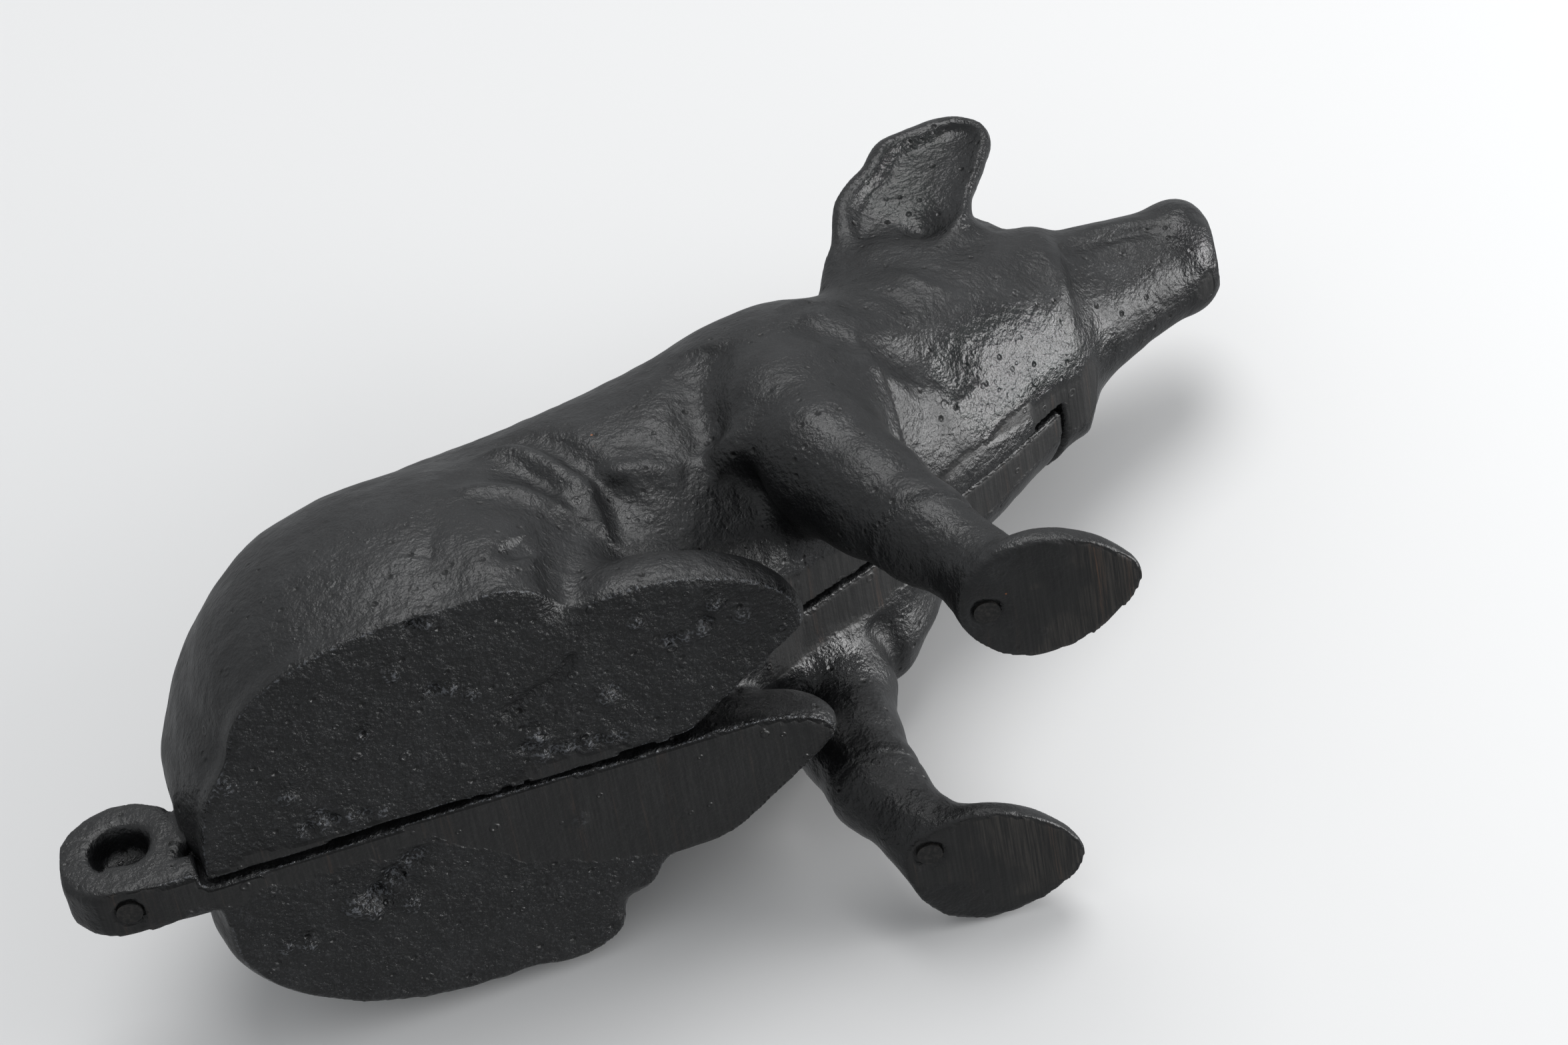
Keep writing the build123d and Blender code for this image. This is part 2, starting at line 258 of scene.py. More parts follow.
# %% Trunk and head as one row of sections: (along, middle height, half width, half height)
TRUNK = [
    (-3.0, 24.0, 12.0, 14.0),
    (1.0, 21.0, 20.0, 22.0),
    (5.0, 21.5, 27.0, 30.0),
    (13.0, 23.0, 36.0, 37.0),
    (26.0, 26.0, 43.5, 43.5),
    (42.0, 28.0, 46.0, 46.7),
    (60.0, 32.0, 45.0, 48.5),
    (80.0, 40.5, 42.0, 43.5),
    (100.0, 49.0, 39.5, 40.5),
    (125.0, 58.5, 39.0, 37.5),
    (150.0, 66.0, 35.5, 33.0),
]
NECK = [(172.0, 75.5, 30.5, 30.0), (200.0, 87.0, 22.0, 23.0)]
HEAD = [
    (166.0, 75.0, 29.0, 30.0),
    (178.0, 81.0, 26.7, 30.2),
    (190.0, 86.3, 24.8, 27.2),
    (202.0, 90.2, 20.6, 22.6),
    (212.0, 93.3, 16.7, 18.0),
    (222.0, 96.2, 14.2, 15.8),
    (232.0, 99.0, 12.3, 13.4),
    (241.0, 101.2, 11.4, 11.8),
    (246.0, 102.0, 10.6, 10.8),
]
COLLAR_AT = (180.5, 83.0)
COLLAR_TILT = math.radians(43.0)
COLLAR_GAP = 1.1


def ahead_of_collar(x, z):
    """Distance ahead of the sloping plane where the left half's neck ends."""
    return (x - COLLAR_AT[0]) * math.cos(COLLAR_TILT) + (z - COLLAR_AT[1]) * math.sin(COLLAR_TILT)


print("trunk stations:", len(TRUNK), "head stations:", len(HEAD))

# %% Haunch, hind foot and shoulder
THIGH = {-1: ((50.0, -30.0, 19.0), (42.0, 21.0, 40.0)), 1: ((48.0, 29.0, 20.0), (43.0, 23.0, 42.0))}
FOOT = {-1: ((98.0, -25.0, 4.0), (28.0, 15.5, 15.0)), 1: ((101.0, 16.5, 4.0), (28.0, 14.0, 15.0))}
LEFT_FOOT_OUTER = (129.0, 11.0)
FOOT_TOE_IN = 12.0
FOOT_INNER_EDGE = {-1: ((124.0, -18.0), (97.0, 1.0)), 1: ((127.0, 6.0), (112.0, 0.5))}


WALL_TOP = 5.0


def straight_below(shape):
    """The same mass with upright walls near the seat, so that the ground edge is crisp."""
    distance, low, high = shape
    return lambda x, y, z: distance(x, y, np.maximum(z, WALL_TOP)), low, high


def add_haunch(clay, side):
    clay.add(straight_below(egg(*THIGH[side])), 5)
    clay.add(straight_below(egg((67, side * 34, 12), (13, 16, 22))), 5)
    if side > 0:
        clay.add(straight_below(egg((66, 35, 14), (17, 16.5, 24))), 4)
        clay.add(egg((21, 20, 12), (23, 20, 24)), 6)
    centre, radii = FOOT[side]
    foot, low, high = egg(centre, radii, yaw=-side * FOOT_TOE_IN)
    tip, inner = FOOT_INNER_EDGE[side]
    edge = np.array(inner, float) - np.array(tip, float)
    facing = np.array((edge[1], -edge[0])) * -side / np.linalg.norm(edge)

    web = egg((86, side * 6, 2), (24, 15, 10))[0]

    def trimmed(x, y, z):
        whole = join(foot(x, y, z), web(x, y, z), 4)
        if side > 0:
            outer = (x - LEFT_FOOT_OUTER[0]) * 0.605 + (y - LEFT_FOOT_OUTER[1]) * 0.796
            whole = cut(whole, outer + 0 * z, 2.0)
        return cut(whole, (x - tip[0]) * facing[0] + (y - tip[1]) * facing[1] + 0 * z, 1.0)

    clay.add((trimmed, np.minimum(low, (60, -24, -10)), np.maximum(high, (112, 24, 14))), 3.5)


def add_shoulder(clay, side):
    clay.add(egg((139, side * 26, 57), (24, 15.5, 28), pitch=8), 7)
    clay.add(egg((141, side * 14, 83), (14, 14, 14)), 8)


# %% [markdown]
# ## Folds and creases
#
# What makes the mass read as a fat pig is the folds: the rolled edge of the thigh, the groove down to the
# hind foot, three wrinkles on the belly, the hollow behind the shoulder and the deep fold under the jowl.
# Each one is a line pressed into the clay, or raised out of it, and both sides get the same ones.

# %% Folds: (course, width, depth), with across given for one side
THIGH_FOLDS = [
    ([(71, 45, 53), (81, 42, 51), (88, 40.5, 41), (92, 38, 32), (93, 35, 24)], 2.6, -2.2),
    ([(76, 42, 58), (86, 41, 53), (93, 39, 43), (97, 36, 33), (97, 33, 24)], 3.4, 3.2),
    ([(66, 49, 41), (75, 46, 43.5), (82, 43, 41.5), (87, 41, 34)], 3.2, 2.2),
    ([(67, 49, 36.5), (77, 46.5, 35), (84, 43.5, 30), (88, 41, 24)], 2.8, -1.6),
    ([(89, 42, 28), (85, 43, 18), (81.5, 43, 8), (80.5, 41, -2)], 4.2, 4.0),
    ([(73, 48.5, 15), (76, 47.5, 11)], 4.5, 2.2),
    ([(61, 51.5, 29), (59.5, 51.5, 22), (57.5, 51, 13)], 1.2, 0.9),
]
BELLY_FOLDS = [
    ([(90, 40, 35), (97, 39, 38), (105, 37.5, 37.5), (112, 35, 35)], 3.0, -1.8),
    ([(95, 38, 35), (98, 36, 30), (100, 33, 25)], 1.3, 1.3),
    ([(98.5, 37, 35), (102, 35, 30), (104, 32, 25)], 1.3, 1.2),
    ([(93, 38.5, 33), (95, 36, 28), (97, 33, 22)], 1.2, 1.0),
]
SHOULDER_FOLDS = [
    ([(127, 40, 66), (122, 40, 56), (120, 38.5, 47), (121, 35.5, 39)], 5.5, 3.2),
    ([(122, 34, 36), (127, 30, 30), (134, 27, 24)], 5.0, 3.0),
    ([(146, 40, 66), (150, 39.5, 61), (157, 38, 56)], 4.5, 2.2),
    ([(158, 37, 55), (166, 31, 57), (173, 26, 57), (176, 20, 53)], 4.6, 5.2),
    ([(158, 34, 50), (158, 31, 38), (153, 27, 27)], 4.0, 2.2),
]
NECK_FOLDS = [
    ([(143, 40, 72), (150, 38, 77), (157, 36, 80)], 2.0, -1.0),
    ([(152, 37.5, 84), (158, 36.5, 76), (163, 35.5, 69)], 2.8, 2.2),
    ([(160, 34, 88), (166, 34, 78), (171, 32, 70)], 2.4, 1.8),
    ([(168, 32, 90), (174, 31, 80), (181, 29, 73)], 2.0, -0.9),
]
CHEST_FOLDS = [([(144, 14, 32), (147, 22, 31), (146, 30, 32), (143, 37, 36)], 3.0, 2.2)]


def mirror(course, side):
    return [(x, side * y, z) for x, y, z in course]


def press_folds(clay, side, folds):
    for course, width, depth in folds:
        clay.press(mirror(course, side), width, depth)


# %% [markdown]
# ## Forelegs and hooves
#
# Each foreleg is a short tapering limb with an elbow at the back. The hoof spreads to a leaf-shaped sole
# that is ground flat on the table. The left foreleg stands further back than the right one.

# %% Forelegs: (along, across, above, radius)
LEG = {
    -1: [
        (135, -30, 46, 14.5), (139, -32, 30, 13.5), (145, -32, 16, 11.2),
        (151, -32, 2, 9.6), (157.5, -32, -12, 8.6),
    ],
    1: [
        (132, 28, 46, 14.5), (132, 28.5, 28, 12.3), (131.8, 28, 14, 10.2),
        (133, 28.3, 0, 9.2), (137, 30, -12, 8.2),
    ],
}
SOLE = {-1: (168.3, -32.0, -5.0), 1: (150.6, 36.6, 5.0)}
SOLE_REACH, SOLE_HALF_WIDTH, HOOF_CROWN = 17.6, 13.9, 9.0


def hoof(side):
    """A low leaf-shaped dome on the table, broad at the heel and pointed at the toe."""
    x0, y0, yaw = SOLE[side]
    z0 = -(x0 * RISE + SEAT_LIFT) / RUN
    c, s = math.cos(math.radians(yaw)), math.sin(math.radians(yaw))

    def distance(x, y, z):
        along = (x - x0) * c + (y - y0) * s
        across = (y - y0) * c - (x - x0) * s
        above = height_above_table(x, z) - 1.6
        share = np.clip(along / SOLE_REACH, -1.3, 1.3)
        width = SOLE_HALF_WIDTH * (1.03 - 0.2 * share - 0.1 * share * share)
        a, b, h = along / SOLE_REACH, across / width, above / HOOF_CROWN
        k0 = np.sqrt(a * a + b * b + h * h)
        k1 = np.sqrt((a / SOLE_REACH) ** 2 + (b / width) ** 2 + (h / HOOF_CROWN) ** 2)
        return k0 * (k0 - 1) / np.maximum(k1, 1e-4)

    return distance, [x0 - 20, y0 - 18, z0 - 6], [x0 + 20, y0 + 18, z0 + 16]


def add_foreleg(clay, side):
    clay.add(limb(LEG[side]), 8)
    elbow = (125.5, side * 33, 38)
    clay.add(egg(elbow, (6, 7, 6)), 5)
    clay.add(hoof(side), 7)


# %% [markdown]
# ## Ears, eyes, mouth and snout
#
# An ear is a thick leaf that leans forward, dished on its outer face. It is made flat in a frame of its
# own: an outline, a slab that follows a gentle curve, and a dish cut into the front.

# %% One ear
EAR_ROOT = (171.5, 21.5, 98.0)
EAR_LEAN = math.radians(37.0)
EAR_SPLAY = math.radians(10.0)
EAR_OUTLINE = [(0.0, 0.0, 12.4), (14.0, -0.6, 13.9), (29.0, 0.0, 12.0), (36.5, 2.4, 9.2)]
EAR_HALF_THICKNESS, EAR_RIM, EAR_RIM_LOSS, EAR_FLOOR = 3.6, 4.6, 3.4, 1.2


def ear(side):
    """The outline is a chain of discs up the ear: (height, across the leaf, radius)."""
    sl, cl, ss, cs = math.sin(EAR_LEAN), math.cos(EAR_LEAN), math.sin(EAR_SPLAY), math.cos(EAR_SPLAY)

    def distance(x, y, z):
        dx, dy, dz = x - EAR_ROOT[0], side * y - EAR_ROOT[1], z - EAR_ROOT[2]
        up, wide = dx * sl + dz * cl, dx * cl - dz * sl
        up, out = up * cs + dy * ss, dy * cs - up * ss
        rim = None
        for (h0, w0, r0), (h1, w1, r1) in zip(EAR_OUTLINE[:-1], EAR_OUTLINE[1:]):
            rise, drift = h1 - h0, w1 - w0
            along = np.clip(((up - h0) * rise + (wide - w0) * drift) / (rise**2 + drift**2), 0, 1)
            away = np.sqrt((up - h0 - along * rise) ** 2 + (wide - w0 - along * drift) ** 2)
            piece = away - (r0 + (r1 - r0) * along)
            rim = piece if rim is None else join(rim, piece, 4)
        bow = 0.010 * wide * wide - 0.0028 * (up - 16) ** 2
        slab = np.abs(out - bow) - EAR_HALF_THICKNESS
        leaf = cut(rim, slab, 3.5)
        dish = cut(rim + EAR_RIM - np.clip(0.3 * wide, 0, EAR_RIM_LOSS), EAR_FLOOR - (out - bow), 3.0)
        return cut(leaf, -dish, 1.6)

    x, y, z = EAR_ROOT
    low = [x - 14, side * y - 24, z - 16]
    high = [x + 48, side * y + 24, z + 52]
    return distance, low, high


# %% Face: brow, eye, mouth line, jaw step and snout disc
def add_face(clay, side):
    clay.add(egg((188, side * 17, 98.5), (9, 7, 6.2)), 6)
    clay.add(egg((171, side * 19, 96), (12, 8, 9)), 7)
    clay.dent((182, side * 24, 104), (4, 5, 5), 2.2)
    clay.add(egg((194.5, side * 19.2, 101.5), (3.6, 2.6, 2.6), pitch=15), 1.5)
    clay.press(mirror([(190, 22, 98.5), (195, 21.5, 98), (199, 19, 100)], side), 1.2, 1.3)
    clay.press(mirror([(189, 22, 104.5), (194, 21, 105.5), (199, 18, 104)], side), 1.5, -1.2)
    clay.press(mirror([(208, 17.5, 91), (214, 16, 94), (222, 13.5, 96.5), (234, 12, 96.5)], side), 1.3, 2.2)
    clay.press(mirror([(210, 16, 96), (220, 13.5, 100), (233, 12, 100.5)], side), 2.4, -0.9)
    clay.press(mirror([(210, 18, 80), (208.5, 15, 73), (207.5, 9, 67)], side), 2.2, 2.2)
    clay.dent((222, side * 15, 86), (11, 7, 9), 2.4)
    clay.dent((246.0, side * 5, 104.5), (3.0, 2.0, 3.2), 2.6)


def add_snout(clay):
    clay.add(egg((236.6, 0, 100.8), (8.2, 12.0, 12.4), pitch=-4), 3)
    clay.press([(236, 9, 110), (235, 0, 113.5), (236, -9, 110)], 2.0, 1.0)


# %% [markdown]
# ## The tail
#
# The tail is a flat strap rolled up behind the rump. Its side view is one curve, so its distance is
# worked out flat and carried across its width. Its underside is ground with the seat.

# %% Tail: the roll's middle line in side view
TAIL_MIDDLE = (-15.0, 13.4)
TAIL_RADIUS, TAIL_STRAP, TAIL_END = 10.0, 7.4, 7.6
TAIL_RIGHT_EDGE, TAIL_WIDTH, TAIL_BACK = -2.6, 12.0, 6.6


def tail_line():
    line = [(9.0, 3.6), (-1.0, 3.5), (-8.0, 3.4)]
    for step in range(18):
        turn = math.radians(step * 22.5)
        shrink = max(0.0, step - 10) / 7
        radius = TAIL_RADIUS + (TAIL_END - TAIL_RADIUS) * shrink
        line.append((TAIL_MIDDLE[0] - radius * math.sin(turn), TAIL_MIDDLE[1] - radius * math.cos(turn)))
    return [np.array((x, 0.0, z)) for x, z in line]


def tail():
    line = tail_line()

    def distance(x, y, z):
        flat = None
        for a, b in zip(line[:-1], line[1:]):
            along, away = to_segment(x, np.zeros_like(y[:, :1]), z, a, b)
            flat = away if flat is None else np.minimum(flat, away)
        strap = flat - TAIL_STRAP / 2
        middle = TAIL_RIGHT_EDGE + TAIL_WIDTH / 2
        roll = cut(strap + 0 * y, np.abs(y - middle) - TAIL_WIDTH / 2, 2.2)
        disc = np.sqrt((x - TAIL_MIDDLE[0]) ** 2 + (z - TAIL_MIDDLE[1]) ** 2) - TAIL_RADIUS
        back = cut(disc, np.abs(y - TAIL_BACK) - 2.2, 1.0)
        return join(roll, back, 2.0)

    low = [TAIL_MIDDLE[0] - 15, TAIL_RIGHT_EDGE - 2, -2]
    high = [14, TAIL_RIGHT_EDGE + TAIL_WIDTH + 2, 28]
    return distance, low, high


# %% [markdown]
# ## Grinding and the open seam
#
# After casting, the seat, the soles and a strip along the throat were held against a belt. On the model
# each of these is a cut: the seat is a plane, the soles are the table, and the throat strip follows the
# throat's side view.

# %% The throat's line in side view
THROAT = [
    (112, 14), (128, 24.6), (145, 32), (165, 43), (183, 53.5),
    (197, 62.5), (203, 65.8), (212, 73.8), (226, 80.5), (240, 88),
]
STRIP_DEPTH = 0.9


def below_throat(x, z):
    """Distance below the throat's line in side view."""
    along, height = zip(*THROAT)
    stretch = np.arange(100, 250)
    slope = np.gradient(np.interp(stretch, along, height))
    tilt = np.interp(x, stretch, slope)
    return (np.interp(x, along, height) + STRIP_DEPTH - z) / np.sqrt(1 + tilt * tilt)


def grind_throat(clay, start=110):
    spans, x, y, z = clay.window((start, -60, 0), (244, 60, 100))
    clay.field[spans] = cut(clay.field[spans], below_throat(x, z) + 0 * y, 0.8)


# %% The flat cheek under the right jaw
CHEEK_FACING = np.array((0.513, -0.42, -0.749))
CHEEK_OFFSET = 57.3


def flatten_cheek(clay):
    """Planes off the swelling under the right jaw, as a file would."""
    spans, x, y, z = clay.window((158, -44, 36), (207, 2, 92))
    beyond = x * CHEEK_FACING[0] + y * CHEEK_FACING[1] + z * CHEEK_FACING[2] - CHEEK_OFFSET
    clay.field[spans] = cut(clay.field[spans], beyond, 3.0)


# %% The seam: (along, across) and (along, half gap)
SEAM_WOBBLE = [
    (-30, 0.3), (0, 0.9), (14, 1.3), (27, 0.8), (48, 0.3),
    (62, 0.4), (80, 0.9), (104, 0.7), (150, 0.5), (210, 0.4),
]
SEAM_HALF_GAP = [
    (-30, 0.5), (10, 0.7), (25, 1.0), (42, 0.85), (52, 0.4),
    (68, 0.4), (84, 0.9), (110, 0.8), (160, 0.6), (205, 0.8),
]


def seam_face(x, side):
    """Where a half's seam face is, across the figure, at each x."""
    middle = np.interp(x, *zip(*SEAM_WOBBLE))
    half_gap = np.interp(x, *zip(*SEAM_HALF_GAP))
    chips = 0.18 * np.sin(x * 0.9) * np.sin(x * 0.37 + side)
    return middle + side * half_gap + chips


# %% [markdown]
# ## Carving the two halves
#
# The order is that of a bench: masses, limbs, folds, face, then the grinding, and the seam last. The
# grid's step sets how fine the skin is: about a millimetre keeps each half under two hundred thousand
# triangles.

# %% Carve one half
STEP = 0.93
BLOCK = {-1: ((-6, -54, -32), (250, 40, 147)), 1: ((-32, -6, -32), (214, 54, 112))}
RUMP_BACK, NECK_END, HEAD_BACK, SNOUT_END = -2.9, 206.0, 158, 244.4
SEAT_EDGE, SOLE_CLEARANCE = 1.3, 0.12
SCREWS = [((124.0, 60.0), 33.5), ((44.0, 40.0), 44.0)]
SCREW_HEAD_ROOM = 5.9
PLUG_ROOM, PLUG_RECESS = 0.8, 0.9


def plug_place(node):
    """Middle and radius of a plug, in mm in the model's frame."""
    low, high = (np.array(corner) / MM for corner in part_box(node))
    return (low[0] + high[0]) / 2, (low[1] + high[1]) / 2, (high[1] - low[1]) / 2


PLUGS = {-1: [plug_place("right_hoof_plug")], 1: [plug_place("left_hoof_plug"), plug_place("tail_plug")]}


def block_out(clay, side):
    """Trunk, haunch, shoulder and foreleg, with the throat and the seat ground flat."""
    x, y, z = clay.whole()
    clay.field[:] = barrel(TRUNK + NECK, x, y, np.maximum(z, WALL_TOP))
    clay.field[:] = cut(clay.field, RUMP_BACK - x, 8.0)
    clay.field[:] = cut(clay.field, x - NECK_END, 4.0)
    grind_throat(clay)
    add_haunch(clay, side)
    clay.field[:] = cut(clay.field, -z, SEAT_EDGE)
    add_shoulder(clay, side)
    add_foreleg(clay, side)


def add_head(clay):
    """The whole head, which is cast with the right half."""
    spans, x, y, z = clay.window((150, -60, 30), (250, 60, 150))
    head = barrel(HEAD, x, y, z, 4.0)
    head = cut(head, HEAD_BACK - x, 12.0)
    head = cut(head, (x - SNOUT_END) + 0.05 * (z - 100), 8.0)
    clay.field[spans] = join(clay.field[spans], head, 6)
    grind_throat(clay, 190)
    flatten_cheek(clay)
    add_snout(clay)
    for cheek in (-1, 1):
        clay.add(ear(cheek), 4.5)
        add_face(clay, cheek)


def grind_on_table(clay):
    """Cuts off whatever would reach below the table."""
    x, y, z = clay.whole()
    clay.field[:] = cut(clay.field, SOLE_CLEARANCE - height_above_table(x, z) + 0 * y, 0.4)


def open_right_half(clay):
    """Stops the right half at the seam; its collar and head run right across."""
    x, y, z = clay.whole()
    open_side = np.minimum(y - seam_face(x, -1), -ahead_of_collar(x, z))
    clay.field[:] = cut(clay.field, open_side, 0.7)


def open_left_half(clay):
    """Stops the left half at the seam and collar; the tail crosses behind the rump."""
    x, y, z = clay.whole()
    clay.add(tail(), 1.5)
    beside_rump = np.minimum(seam_face(x, 1) - y, x + 1.6)
    clay.field[:] = cut(clay.field, beside_rump + 0 * z, 0.7)
    clay.field[:] = cut(clay.field, ahead_of_collar(x, z) + COLLAR_GAP + 0 * y, 0.8)


def sink_screws(clay):
    """Counterbores in the left flank for the screw heads."""
    for (screw_x, screw_z), seat in SCREWS:
        spans, x, y, z = clay.window((screw_x - 9, seat - 1, screw_z - 9), (screw_x + 9, 60, screw_z + 9))
        hole = np.sqrt((x - screw_x) ** 2 + (z - screw_z) ** 2) - SCREW_HEAD_ROOM
        clay.field[spans] = cut(clay.field[spans], -np.maximum(hole + 0 * y, seat - y), 0.8)


def recess_plugs(clay, side):
    """A narrow moat round each plug."""
    x, y, z = clay.whole()
    along = x * RUN - z * RISE + SEAT_START
    for plug_x, plug_y, radius in PLUGS[side]:
        ring = np.sqrt((along - plug_x) ** 2 + (y - plug_y) ** 2) - radius - PLUG_ROOM
        clay.field[:] = cut(clay.field, -np.maximum(ring, height_above_table(x, z) - PLUG_RECESS), 0.3)


def carve(side):
    clay = Clay(*BLOCK[side], STEP)
    block_out(clay, side)
    if side < 0:
        add_head(clay)
    for folds in (THIGH_FOLDS, BELLY_FOLDS, SHOULDER_FOLDS, NECK_FOLDS):
        press_folds(clay, side, folds)
    if side < 0:
        press_folds(clay, 1, NECK_FOLDS[-1:])
        grind_on_table(clay)
        open_right_half(clay)
    else:
        press_folds(clay, side, CHEST_FOLDS)
        grind_on_table(clay)
        open_left_half(clay)
        grind_on_table(clay)
        sink_screws(clay)
    recess_plugs(clay, side)
    return clay


# %% [markdown]
# ## From clay to mesh
#
# OpenVDB, which comes with Blender, walks the grid and lays a net of four-sided faces where the distance
# is zero. The net is even, so it takes a fine displacement well.

# %% Read the skin off the grid
def read_skin(clay):
    """The points, in mm in the seat's frame, and the four-sided faces of the clay's skin."""
    band = np.clip(clay.field, -3 * clay.step, 3 * clay.step) / clay.step
    grid = openvdb.FloatGrid(3.0)
    grid.copyFromArray(np.ascontiguousarray(band, np.float32))
    points, _, quads = grid.convertToPolygons(isovalue=0.0, adaptivity=0.0)
    low = np.array([axis[0] for axis in clay.axes], float)
    return points * clay.step + low, quads.astype(np.int64)


def mesh_from(name, points, quads):
    mesh = bpy.data.meshes.new(name)
    mesh.vertices.add(len(points))
    mesh.vertices.foreach_set("co", points.astype(np.float32).ravel())
    mesh.loops.add(4 * len(quads))
    mesh.loops.foreach_set("vertex_index", quads.astype(np.int32).ravel())
    mesh.polygons.add(len(quads))
    mesh.polygons.foreach_set("loop_start", np.arange(0, 4 * len(quads), 4, dtype=np.int32))
    mesh.polygons.foreach_set("use_smooth", np.ones(len(quads), bool))
    mesh.update(calc_edges=True)
    mesh.validate()
    return mesh


def normals_of(points, quads):
    across = np.cross(points[quads[:, 2]] - points[quads[:, 0]], points[quads[:, 3]] - points[quads[:, 1]])
    normals = np.zeros_like(points)
    for corner in range(4):
        np.add.at(normals, quads[:, corner], across)
    return normals / np.maximum(np.linalg.norm(normals, axis=1, keepdims=True), 1e-9)


# %% [markdown]
# ## Casting skin
#
# Sand leaves its mark: broad low swellings, lumps where the mould crumbled, and pits where gas was
# caught. The swellings are smooth random heights over the whole skin. The large lumps and pits of the
# seat have places of their own.

# %% Smooth random heights
def random_heights(points, size, seed):
    """Heights from -1 to 1 whose swellings are about size mm across."""
    table = np.random.RandomState(seed).uniform(-1, 1, 4096)
    cell = points / size
    base = np.floor(cell).astype(np.int64)
    share = cell - base
    share = share * share * (3 - 2 * share)
    height = np.zeros(len(points))
    for corner in np.ndindex(2, 2, 2):
        spot = base + np.array(corner)
        index = (spot[:, 0] * 73856093 ^ spot[:, 1] * 19349663 ^ spot[:, 2] * 83492791) & 4095
        weight = np.prod(np.where(np.array(corner) == 1, share, 1 - share), axis=1)
        height += weight * table[index]
    return height


# %% Lumps and pits of the seat: (along, across, radius, height)
SEAT_MARKS = {
    -1: [
        (50.7, -47.6, 1.6, -2.2), (53.2, -46.8, 1.2, 0.9), (51.6, -30.7, 1.5, -0.9), (54.2, -29.6, 1.6, 0.9),
        (58.0, -26.1, 1.4, 0.8), (68.6, -10.5, 2.0, 1.3), (66.8, -9.0, 1.6, -1.2), (68.9, -5.9, 1.5, 1.0),
        (71.5, -6.2, 1.2, -1.0), (73.5, -5.6, 1.2, 0.8), (75.8, -5.8, 1.2, -0.9), (78.0, -5.4, 1.2, 0.9),
        (80.4, -5.4, 1.2, -0.8), (82.6, -5.0, 1.2, 0.8), (84.9, -4.6, 1.2, -0.6), (18.4, -14.3, 1.5, 0.9),
        (23.9, -7.8, 1.5, -1.0), (19.0, -5.0, 1.3, 0.8), (21.5, -5.4, 1.2, -0.9), (23.8, -5.0, 1.3, 0.8),
        (26.5, -5.6, 1.2, -0.8), (29.4, -5.2, 1.3, 0.8), (32.5, -4.6, 1.2, -0.7), (35.8, -3.4, 1.2, 0.7),
        (83.6, -15.9, 1.7, 1.1), (85.6, -17.2, 1.3, -0.9), (92.2, -31.9, 1.4, 0.8), (98.4, -24.9, 1.6, -1.0),
        (101.0, -25.0, 1.3, 0.8), (104.5, -25.0, 1.4, 0.9),
        (106.0, -27.0, 1.2, -0.8), (108.0, -31.0, 1.4, 0.8),
        (7.8, -21.7, 1.8, 0.6), (44.0, -37.0, 1.4, 0.6), (36.0, -24.0, 1.3, 0.6), (113.0, -26.0, 1.5, 0.8),
    ],
    1: [
        (25.4, 18.8, 2.2, 1.2), (28.0, 19.6, 1.6, 0.9), (31.0, 17.7, 2.6, -2.4), (35.0, 14.2, 2.4, -2.2),
        (38.6, 11.4, 2.0, -1.6), (33.4, 17.9, 1.3, 0.9), (36.4, 22.7, 1.8, 0.8), (41.0, 10.0, 1.4, -0.8),
        (29.0, 21.8, 1.4, 0.6), (14.5, 25.0, 1.5, 0.7), (10.4, 24.3, 1.5, 0.7), (73.1, 13.2, 1.5, 0.7),
    ],
}
SEAT_CREASE = [(78.5, -28.0), (76.0, -25.0), (73.0, -23.2), (69.0, -21.8), (64.5, -19.2)]


def seat_marks(points, side):
    """Heights that the chosen lumps and pits add to the seat, in mm, and the wet shine round them, which
    makes the paint glossier and gets painted highlight glints in its colour.
    """
    on_seat = np.exp(-(points[:, 2] / 1.5) ** 2)
    height = np.zeros(len(points))
    shine = np.zeros(len(points))
    for x, y, radius, size in SEAT_MARKS[side]:
        away = (points[:, 0] - x) ** 2 + (points[:, 1] - y) ** 2
        height += size * np.exp(-away / radius**2)
        shine = np.maximum(shine, np.exp(-away / (1.5 * radius) ** 2))
    if side < 0:
        line = smooth_course([(x, y, 0.0) for x, y in SEAT_CREASE])
        near = np.full(len(points), 1e6)
        for a, b in zip(line[:-1], line[1:]):
            along, away = to_segment(points[:, 0], points[:, 1], 0 * points[:, 2], a, b)
            near = np.minimum(near, away)
        height -= 0.9 * np.exp(-(near / 1.2) ** 2)
    return height * on_seat, shine * on_seat


# %% Where the belt touched, and where the paint pooled
def smooth_step(value, low, high):
    share = np.clip((value - low) / (high - low), 0, 1)
    return share * share * (3 - 2 * share)


SEAT_GRIND = 0.78
LEFT_BAND = [
    (-20, 6.0), (5, 7.8), (20, 8.0), (33, 8.6), (44, 5.2),
    (51, 13.0), (61, 20.0), (72, 25.0), (88, 30.0), (130, 40.0),
]
RIGHT_BAND = [
    (-20, 0.0), (1, 1.6), (11, 4.0), (29, 2.2), (38, 1.0), (58, 0.6),
    (64, 2.4), (72, 4.2), (85, 2.2), (90, -2.0), (130, -2.0),
]


